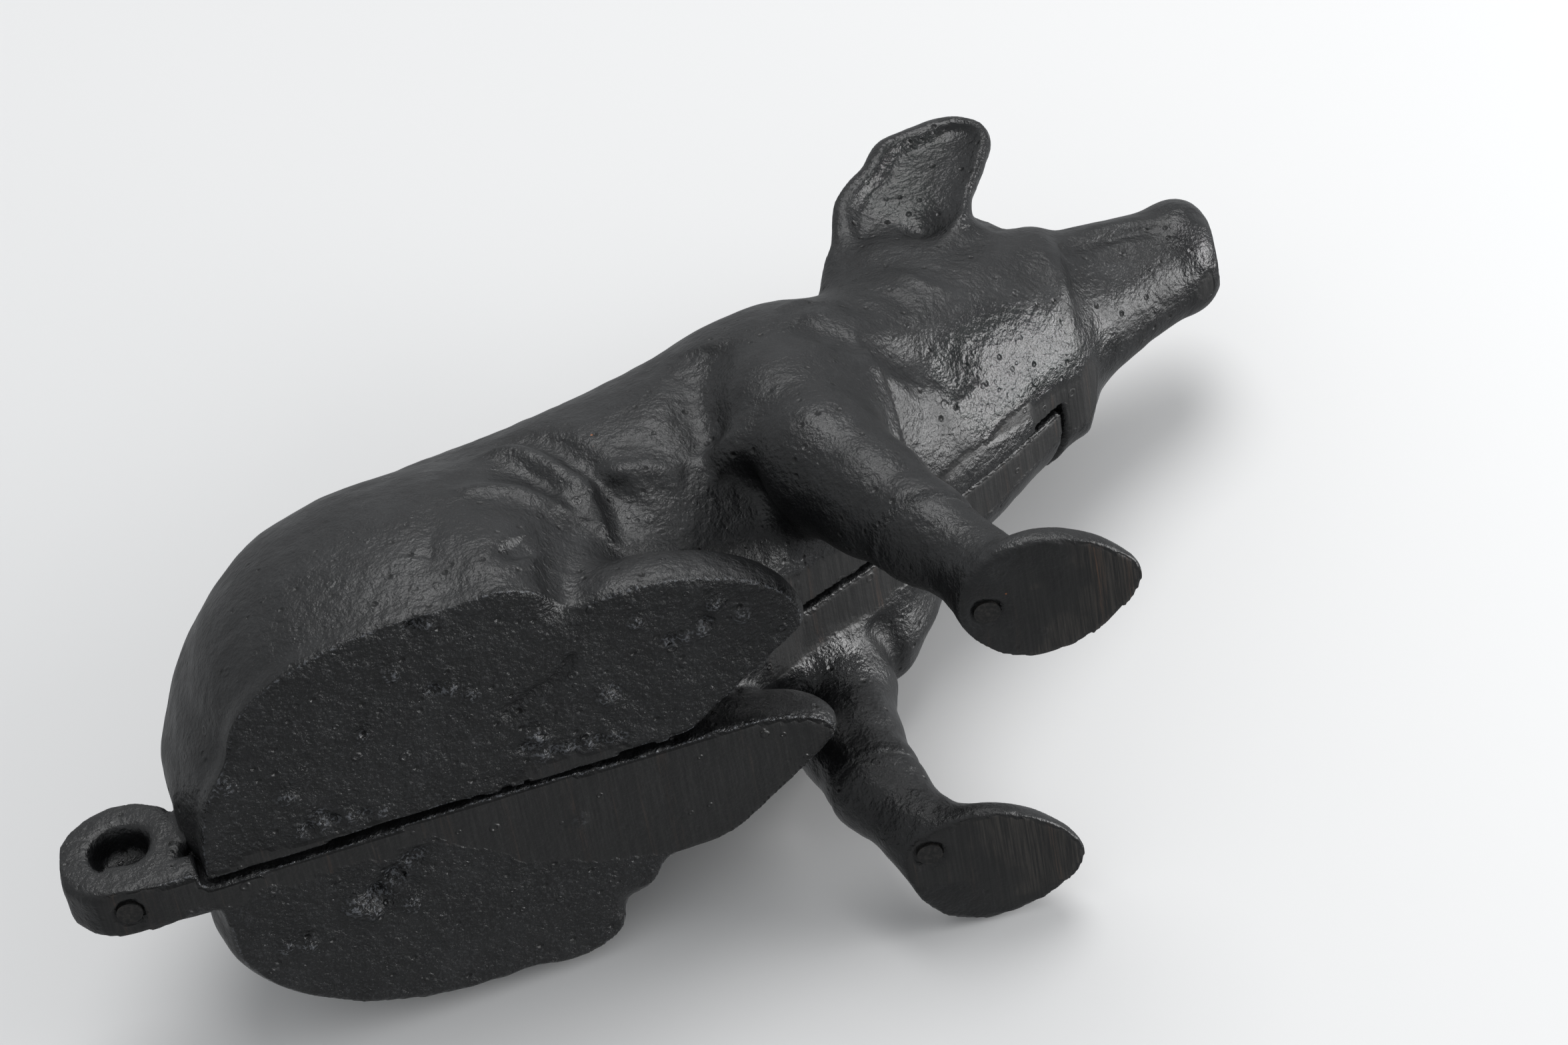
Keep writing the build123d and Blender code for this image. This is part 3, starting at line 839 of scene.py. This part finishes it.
def ground_share(points, normals, side):
    """How much each point was ground: 1 on a bare belt-striped face, 0 on casting skin."""
    x, y, z = points.T
    uneven = random_heights(points, 5.0, 11) * 1.6 + random_heights(points, 1.6, 12) * 0.7
    seat = smooth_step(-z, -0.5, -0.2) * smooth_step(-normals[:, 2], 0.9, 0.97)
    if side > 0:
        band = np.interp(x, *zip(*LEFT_BAND)) - y
    else:
        band = np.interp(x, *zip(*RIGHT_BAND)) + y
    share = SEAT_GRIND * seat * smooth_step(band + uneven, -0.6, 0.9)
    height = height_above_table(x, z)
    sole_x, sole_y, _ = SOLE[side]
    on_sole = smooth_step(-height, -0.6, -0.25) * smooth_step(x, 100, 110)
    toe = (x - sole_x) * 0.55 - side * (y - sole_y) * 0.35 + 3.0
    share = np.maximum(share, on_sole * smooth_step(toe + 2.5 * uneven, -9, 8))
    below = below_throat(x, z)
    strip = smooth_step(below, -0.35, -0.1) * (1 - smooth_step(below, 0.5, 1.1)) * smooth_step(x, 118, 122)
    wide = np.where(side > 0, 12.0, 9.0)
    strip = strip * smooth_step(wide - np.abs(y) + uneven, -1.0, 1.0)
    on_tail = smooth_step(-height, -0.7, -0.3) * smooth_step(-x, 2, 4)
    return np.maximum.reduce([share, strip * SEAT_GRIND, on_tail * SEAT_GRIND])


PAINT_POOLS = [
    ((186, -14, 62), (24, 16, 14)), ((242.5, -8, 97), (8.5, 13, 13)), ((190, -26, 118), (18, 10, 20)),
    ((190, 26, 118), (18, 10, 20)), ((128, 20, 26), (12, 12, 14)), ((205, 0, 72), (12, 14, 10)),
]


def gloss_share(points):
    """How glossy the paint lies: pooled under the jaw, in the ears, on the snout and inside the left leg."""
    x, y, z = points.T
    uneven = random_heights(points, 7.0, 21) * 0.18 + random_heights(points, 2.2, 22) * 0.12
    share = np.zeros(len(points))
    for centre, radii in PAINT_POOLS:
        far = sum(((p - c) / r) ** 2 for p, c, r in zip((x, y, z), centre, radii))
        share = np.maximum(share, 1 - smooth_step(far, 0.7, 1.3))
    return np.clip(share + uneven * (share > 0.05), 0, 1)


# %% [markdown]
# ## Finishing each skin
#
# The skin is moved along its own normals by the random heights and the marks, its ground and glossy shares
# are stored on its points for the paint to read, and it is stood up in the model's frame, where it replaces
# the plain
# CAD solid. The glossy share also places the painted highlight glints on the seat.

# %% Build a half's skin
EDGE_OF_BOX = 0.05 * MM


def skin_height(points, side, seat, rough, seam):
    """How far each point moves along its normal, in mm, and the wet shine round the marks, where the paint
    is glossier and painted highlight glints are added to its colour.
    """
    swell = 0.20 * random_heights(points, 9.0, 1) + 0.12 * random_heights(points, 3.2, 2)
    swell += seat * (0.10 * random_heights(points, 2.4, 3) + 0.10 * random_heights(points, 5.0, 4) - 0.12)
    marks, shine = seat_marks(points, side)
    crumbling = 0.55 * shine * random_heights(points, 1.9, 5)
    return swell * rough + (1.25 * marks + crumbling) * seam - 0.3 * seat * rough, shine


def lip_share(points, normals):
    """1 along the seat's rounded edge, where the flash leaves a glossy lip that is also given painted
    highlight glints.
    """
    down = np.abs(normals[:, 2])
    near_seat = np.exp(-((points[:, 2] - 0.6) / 0.9) ** 2)
    return near_seat * smooth_step(down, 0.2, 0.5) * smooth_step(-down, -0.95, -0.8)


def finish_skin(name, side):
    points, quads = read_skin(carve(side))
    normals = normals_of(points, quads)
    ground = ground_share(points, normals, side)
    seam = smooth_step(np.abs(points[:, 1] - seam_face(points[:, 0], side)), 0.1, 0.6)
    seat = np.exp(-(points[:, 2] / 1.2) ** 2)
    height, shine = skin_height(points, side, seat, (1 - ground) * seam, seam)
    points = points + normals * height[:, None]
    lip = lip_share(points, normals)
    # The glossy share sets the paint's roughness and also marks where painted highlight glints go on the
    # seat.
    gloss_and_glint = np.maximum.reduce([gloss_share(points), 0.9 * shine, 0.8 * lip * (1 - ground)])
    low, high = np.array(cad_low) + EDGE_OF_BOX, np.array(cad_high) - EDGE_OF_BOX
    mesh = mesh_from(name, np.clip(stand_up(points), low, high), quads)
    for attribute, values in (("ground", ground), ("gloss_and_glint", gloss_and_glint), ("seat", seat)):
        layer = mesh.attributes.new(attribute, "FLOAT", "POINT")
        layer.data.foreach_set("value", values.astype(np.float32))
    piece = bpy.data.objects.new(name, mesh)
    bpy.context.scene.collection.objects.link(piece)
    print(name, "has", len(points), "points and", 2 * len(quads), "triangles")
    return piece


right_skin = finish_skin("right_casting_skin", -1)
left_skin = finish_skin("left_casting_skin", 1)

# %% Hand the skins to the frame
for skin, node in ((right_skin, "right_casting"), (left_skin, "left_casting")):
    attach(skin, "root")
    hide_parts(node)

# %% [markdown]
# ## Paint and iron
#
# The figure was dipped or brushed in one coat of black enamel. It is satin over the sand skin, glossy where
# it pooled, thin and brownish over the ground faces, and freckled with rust where a grain broke through. Its
# colour also carries painted shade in the sand pits, painted highlight glints round the seat's marks and
# lip, and lighter raised grain tops near the seat.

# %% A small kit for wiring shader nodes
class Wiring:
    """Adds nodes to one material; an input may be a number, a colour or another node's output."""

    def __init__(self, name):
        self.material = bpy.data.materials.new(name)
        self.material.use_nodes = True
        self.tree = self.material.node_tree
        self.shader = self.tree.nodes["Principled BSDF"]

    def node(self, kind, inputs=None, **settings):
        node = self.tree.nodes.new(kind)
        for key, value in settings.items():
            setattr(node, key, value)
        for key, value in (inputs or {}).items():
            self.feed(node.inputs[key], value)
        return node

    def feed(self, socket, value):
        if isinstance(value, bpy.types.NodeSocket):
            self.tree.links.new(value, socket)
        else:
            socket.default_value = value

    def maths(self, operation, *values, clamp=False):
        node = self.node("ShaderNodeMath", dict(enumerate(values)), operation=operation, use_clamp=clamp)
        return node.outputs[0]

    def ramp(self, value, low, high, bottom=0.0, top=1.0):
        names = {"Value": value, "From Min": low, "From Max": high, "To Min": bottom, "To Max": top}
        return self.node("ShaderNodeMapRange", names, interpolation_type="SMOOTHSTEP").outputs["Result"]

    def blend(self, share, first, second):
        node = self.node("ShaderNodeMix", data_type="RGBA")
        self.feed(node.inputs["Factor"], share)
        self.feed(node.inputs["A"], first)
        self.feed(node.inputs["B"], second)
        return node.outputs["Result"]

    def millimetres(self, stretch=(1.0, 1.0, 1.0), turn=0.0):
        """Object coordinates in mm, turned by an angle about the width and stretched along each axis."""
        place = self.node("ShaderNodeTexCoord").outputs["Object"]
        level = self.node("ShaderNodeMapping", {"Vector": place, "Rotation": (0.0, turn, 0.0)})
        per_metre = [1000 * share for share in stretch]
        scale = self.node("ShaderNodeVectorMath", {0: level.outputs[0], 1: per_metre}, operation="MULTIPLY")
        return scale.outputs[0]

    def noise(self, place, scale, detail=2.0, roughness=0.5):
        names = {"Vector": place, "Scale": scale, "Detail": detail, "Roughness": roughness}
        return self.node("ShaderNodeTexNoise", names).outputs["Fac"]

    def stored(self, name):
        return self.node("ShaderNodeAttribute", attribute_name=name).outputs["Fac"]


# %% Grains, bubbles and specks that every cast surface shares
def scattered(wiring, place, cell, radius, seldom):
    """1 amid scattered round spots, 0 at their radius; seldom is the share of cells left empty."""
    spots = wiring.node("ShaderNodeTexVoronoi", {"Vector": place, "Scale": 1.0 / cell, "Randomness": 1.0})
    chosen = wiring.node("ShaderNodeSeparateColor", {0: spots.outputs["Color"]}).outputs[0]
    present = wiring.maths("GREATER_THAN", chosen, seldom)
    far = wiring.maths("MULTIPLY", spots.outputs["Distance"], cell / radius)
    return wiring.maths("MULTIPLY", wiring.maths("SUBTRACT", 1.0, far, clamp=True), present)


def bubble_rings(wiring, place, cell, radius, seldom):
    """Raised rings left by gas bubbles that burst in the paint and sand."""
    spot = scattered(wiring, place, cell, radius, seldom)
    return wiring.maths("MULTIPLY", wiring.ramp(spot, 0.0, 0.35), wiring.ramp(spot, 0.75, 0.4))


# %% Black enamel over sand-cast iron
def black_enamel():
    w = Wiring("black_enamel_on_cast_iron")
    place = w.millimetres()
    belt = w.millimetres((1.0, 0.03, 1.0), SEAT_PITCH)
    ground, gloss_and_glint, seat = w.stored("ground"), w.stored("gloss_and_glint"), w.stored("seat")
    grain = w.noise(place, 1.3, 3.0, 0.6)
    lumps = w.noise(place, 0.42, 2.0, 0.5)
    stripes = w.noise(belt, 2.2, 4.0, 0.7)
    pits = scattered(w, place, 3.6, 0.75, 0.45)
    rings = bubble_rings(w, place, 7.0, 1.3, 0.62)
    small_rings = bubble_rings(w, w.millimetres((1.03, 0.97, 1.01)), 4.3, 0.8, 0.72)
    height = w.maths("MULTIPLY", grain, 0.24)
    height = w.maths("MULTIPLY_ADD", lumps, 0.42, height)
    height = w.maths("MULTIPLY_ADD", pits, -0.36, height)
    height = w.maths("MULTIPLY", height, w.ramp(seat, 0.0, 1.0, 1.0, 2.6))
    height = w.maths("MULTIPLY", height, w.ramp(ground, 0.0, 1.0, 1.0, 0.14))
    bubbling = w.ramp(seat, 0.0, 1.0, 0.25, 1.0)
    height = w.maths("MULTIPLY_ADD", rings, w.maths("MULTIPLY", bubbling, 0.38), height)
    height = w.maths("MULTIPLY_ADD", small_rings, w.maths("MULTIPLY", bubbling, 0.28), height)
    belt_height = w.maths("MULTIPLY", stripes, 0.05)
    height = w.maths("MULTIPLY_ADD", belt_height, ground, height)
    bump = w.node("ShaderNodeBump", {"Height": height, "Strength": 1.0, "Distance": MM})
    w.feed(w.shader.inputs["Normal"], bump.outputs[0])
    dust = w.ramp(w.noise(place, 0.09, 5.0, 0.65), 0.42, 0.75)
    colour = w.blend(dust, (0.0050, 0.0052, 0.0056, 1), (0.0130, 0.0135, 0.0142, 1))
    # The colour is lighter on the grain's raised tops, most strongly on and near the seat.
    lighter_grain_tops = w.maths("MULTIPLY", w.ramp(grain, 0.52, 0.68), w.ramp(seat, 0.2, 1.0, 0.15, 0.8))
    colour = w.blend(lighter_grain_tops, colour, (0.030, 0.031, 0.033, 1))
    # Painted shade: the colour goes near black inside the sand pits.
    colour = w.blend(w.ramp(pits, 0.1, 0.6), colour, (0.002, 0.002, 0.002, 1))
    # Painted highlight: light grey glints are painted into the colour on the grain's tops wherever the
    # seat's paint is glossy.
    painted_glint_zone = w.maths("MULTIPLY", w.ramp(gloss_and_glint, 0.3, 0.8), seat)
    painted_glints = w.maths("MULTIPLY", w.ramp(grain, 0.50, 0.60), painted_glint_zone)
    colour = w.blend(painted_glints, colour, (0.10, 0.105, 0.115, 1))
    belt_share = w.ramp(stripes, 0.35, 0.72)
    polished = w.blend(w.ramp(ground, 0.8, 0.95), (0.020, 0.0195, 0.019, 1), (0.040, 0.036, 0.032, 1))
    bare = w.blend(belt_share, (0.0085, 0.0085, 0.0085, 1), polished)
    brown = w.maths("MULTIPLY", w.ramp(w.noise(belt, 0.25, 3.0), 0.52, 0.75), w.ramp(stripes, 0.45, 0.7))
    bare = w.blend(w.maths("MULTIPLY", brown, 0.75), bare, (0.085, 0.040, 0.020, 1))
    colour = w.blend(ground, colour, bare)
    specks = w.ramp(scattered(w, place, 9.0, 0.42, 0.80), 0.25, 0.6)
    colour = w.blend(specks, colour, (0.22, 0.075, 0.025, 1))
    w.feed(w.shader.inputs["Base Color"], colour)
    uneven = w.ramp(w.noise(place, 0.16, 4.0, 0.6), 0.3, 0.7, 0.30, 0.43)
    wet = w.maths("MAXIMUM", gloss_and_glint, w.maths("MULTIPLY", w.maths("MAXIMUM", rings, small_rings), 0.8))
    satin = w.node("ShaderNodeMix", {"Factor": wet, "A": uneven, "B": 0.17}).outputs["Result"]
    belt_rough = w.ramp(stripes, 0.3, 0.7, 0.36, 0.50)
    rough = w.node("ShaderNodeMix", {"Factor": ground, "A": satin, "B": belt_rough}).outputs["Result"]
    w.feed(w.shader.inputs["Roughness"], rough)
    w.shader.inputs["Specular IOR Level"].default_value = 0.45
    return w.material


enamel = black_enamel()
for skin in (right_skin, left_skin):
    skin.data.materials.append(enamel)

# %% [markdown]
# ## Screws and plugs
#
# The tie screws are turned steel, darkened by the same paint. The plugs in the heels and under the tail
# are short iron pins driven into the casting and ground with the soles. Their CAD solids have the right
# shape and keep it.

# %% Screw steel and plug iron
def worn_metal(name, dark, light, scale, roughness):
    w = Wiring(name)
    place = w.millimetres()
    wear = w.noise(place, scale, 4.0, 0.65)
    w.feed(w.shader.inputs["Base Color"], w.blend(w.ramp(wear, 0.4, 0.7), dark, light))
    w.feed(w.shader.inputs["Roughness"], w.ramp(wear, 0.3, 0.7, roughness + 0.12, roughness))
    scratch = w.noise(w.millimetres((1.0, 0.06, 1.0)), 3.0, 3.0)
    height = w.maths("ADD", w.maths("MULTIPLY", scratch, 0.03), w.maths("MULTIPLY", wear, 0.06))
    bump = w.node("ShaderNodeBump", {"Height": height, "Strength": 1.0, "Distance": MM})
    w.feed(w.shader.inputs["Normal"], bump.outputs[0])
    w.shader.inputs["Metallic"].default_value = 0.3
    return w.material


screw_steel = worn_metal("blackened_screw_steel", (0.02, 0.02, 0.021, 1), (0.12, 0.115, 0.11, 1), 0.8, 0.32)
plug_iron = worn_metal("ground_plug_iron", (0.010, 0.010, 0.010, 1), (0.034, 0.031, 0.029, 1), 1.1, 0.36)
FINISHES = {
    "front_tie_screw": screw_steel,
    "rear_tie_screw": screw_steel,
    "right_hoof_plug": plug_iron,
    "left_hoof_plug": plug_iron,
    "tail_plug": plug_iron,
}
for node, finish in FINISHES.items():
    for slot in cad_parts[node].material_slots:
        slot.material = finish
print("CAD nodes painted:", sorted(FINISHES))

# %% [markdown]
# ## The table
#
# The figure lies on its left side, so the table is a sheet that touches the left haunch and the left
# hoof, and its upper side faces the figure. It is a studio sweep: it shows from the figure's side only,
# and the room's light passes it.

# %% Lay the table against the figure's left side
TABLE_NORMAL = Vector((0.043, 0.9915, 0.1226)).normalized()


def lay_table(skins, reach=3.0):
    farthest = -1e9
    for skin in skins:
        count = len(skin.data.vertices)
        places = np.zeros(3 * count, np.float32)
        skin.data.vertices.foreach_get("co", places)
        farthest = max(farthest, float((places.reshape(-1, 3) @ np.array(TABLE_NORMAL)).max()))
    across = TABLE_NORMAL.cross(Vector((0, 0, 1))).normalized()
    along = TABLE_NORMAL.cross(across)
    middle = TABLE_NORMAL * (farthest + 0.3 * MM)
    signs = ((-1, -1), (-1, 1), (1, 1), (1, -1))
    corners = [middle + across * (reach * a) + along * (reach * b) for a, b in signs]
    mesh = bpy.data.meshes.new("table")
    mesh.from_pydata(corners, [], [(0, 1, 2, 3)])
    mesh.update()
    if mesh.polygons[0].normal.dot(TABLE_NORMAL) > 0:
        mesh.flip_normals()
    table = bpy.data.objects.new("table", mesh)
    bpy.context.scene.collection.objects.link(table)
    return table


table = lay_table((right_skin, left_skin))
table.visible_diffuse = False
table.visible_glossy = False
table.visible_shadow = False


# %% Table paper, seen from its upper side only
def table_paper():
    w = Wiring("pale_paper")
    w.feed(w.shader.inputs["Base Color"], (0.70, 0.70, 0.70, 1))
    w.shader.inputs["Roughness"].default_value = 0.9
    back = w.node("ShaderNodeNewGeometry").outputs["Backfacing"]
    clear = w.node("ShaderNodeBsdfTransparent")
    mix = w.node("ShaderNodeMixShader", {0: back, 1: w.shader.outputs[0], 2: clear.outputs[0]})
    output = w.tree.nodes["Material Output"]
    w.tree.links.new(mix.outputs[0], output.inputs["Surface"])
    return w.material


table.data.materials.append(table_paper())

# %% [markdown]
# ## Light and camera
#
# Plain studio light: a pale room that is brighter above the table than beside it, a large soft light over
# the table, and a window-like one beyond the head, which is what the glossy throat and snout catch.

# %% Room and lights
scene = bpy.context.scene
scene.view_settings.view_transform = "Standard"
room = bpy.data.worlds.new("pale_room")
room.use_nodes = True
ROOM_UP, ROOM_FLOOR_SIDE = 0.62, 0.34


def light_room_from_above(tree):
    """The ceiling is bright and the side of the table is dim: up is away from the table."""
    way = tree.nodes.new("ShaderNodeTexCoord")
    split = tree.nodes.new("ShaderNodeSeparateXYZ")
    fade = tree.nodes.new("ShaderNodeMapRange")
    fade.interpolation_type = "SMOOTHSTEP"
    settings = {"From Min": -0.75, "From Max": 0.75, "To Min": ROOM_UP, "To Max": ROOM_FLOOR_SIDE}
    for key, value in settings.items():
        fade.inputs[key].default_value = value
    background = tree.nodes["Background"]
    background.inputs["Color"].default_value = (0.93, 0.95, 0.97, 1)
    tree.links.new(way.outputs["Generated"], split.inputs[0])
    tree.links.new(split.outputs["Y"], fade.inputs["Value"])
    tree.links.new(fade.outputs["Result"], background.inputs["Strength"])


light_room_from_above(room.node_tree)
scene.world = room

FIGURE_MIDDLE = (Vector(cad_low) + Vector(cad_high)) / 2


def soft_light(name, direction, distance, size, power):
    lamp = bpy.data.lights.new(name, "AREA")
    lamp.shape = "DISK"
    lamp.size = size
    lamp.energy = power
    light = bpy.data.objects.new(name, lamp)
    scene.collection.objects.link(light)
    away = Vector(direction).normalized()
    light.location = FIGURE_MIDDLE + away * distance
    light.rotation_euler = away.to_track_quat("Z", "Y").to_euler()
    return light


soft_light("over_table", (0.15, -0.9, 0.3), 1.9, 1.3, 22)
soft_light("beyond_head", (0.93, -0.14, -0.16), 0.95, 0.66, 11)

# %% Camera
CAMERA_AIM = FIGURE_MIDDLE + Vector((0.0244, -0.0364, -0.0514))
CAMERA_DISTANCE = 0.9
CAMERA_HEADING, CAMERA_CLIMB, CAMERA_ROLL = (math.radians(a) for a in (0.85, 49.49, 11.76))
forward = Vector((
    math.sin(CAMERA_HEADING) * math.cos(CAMERA_CLIMB),
    math.cos(CAMERA_HEADING) * math.cos(CAMERA_CLIMB),
    math.sin(CAMERA_CLIMB),
))
level = forward.cross(Vector((0, 0, 1))).normalized()
head_up = level.cross(forward)
right = level * math.cos(CAMERA_ROLL) - head_up * math.sin(CAMERA_ROLL)
up = level * math.sin(CAMERA_ROLL) + head_up * math.cos(CAMERA_ROLL)
lens = bpy.data.cameras.new("camera")
lens.lens = 106.07
lens.sensor_width = 36.0
lens.clip_end = 20.0
camera = bpy.data.objects.new("camera", lens)
scene.collection.objects.link(camera)
turn = Matrix((right, up, -forward)).transposed().to_4x4()
camera.matrix_world = Matrix.Translation(CAMERA_AIM - forward * CAMERA_DISTANCE) @ turn
scene.camera = camera
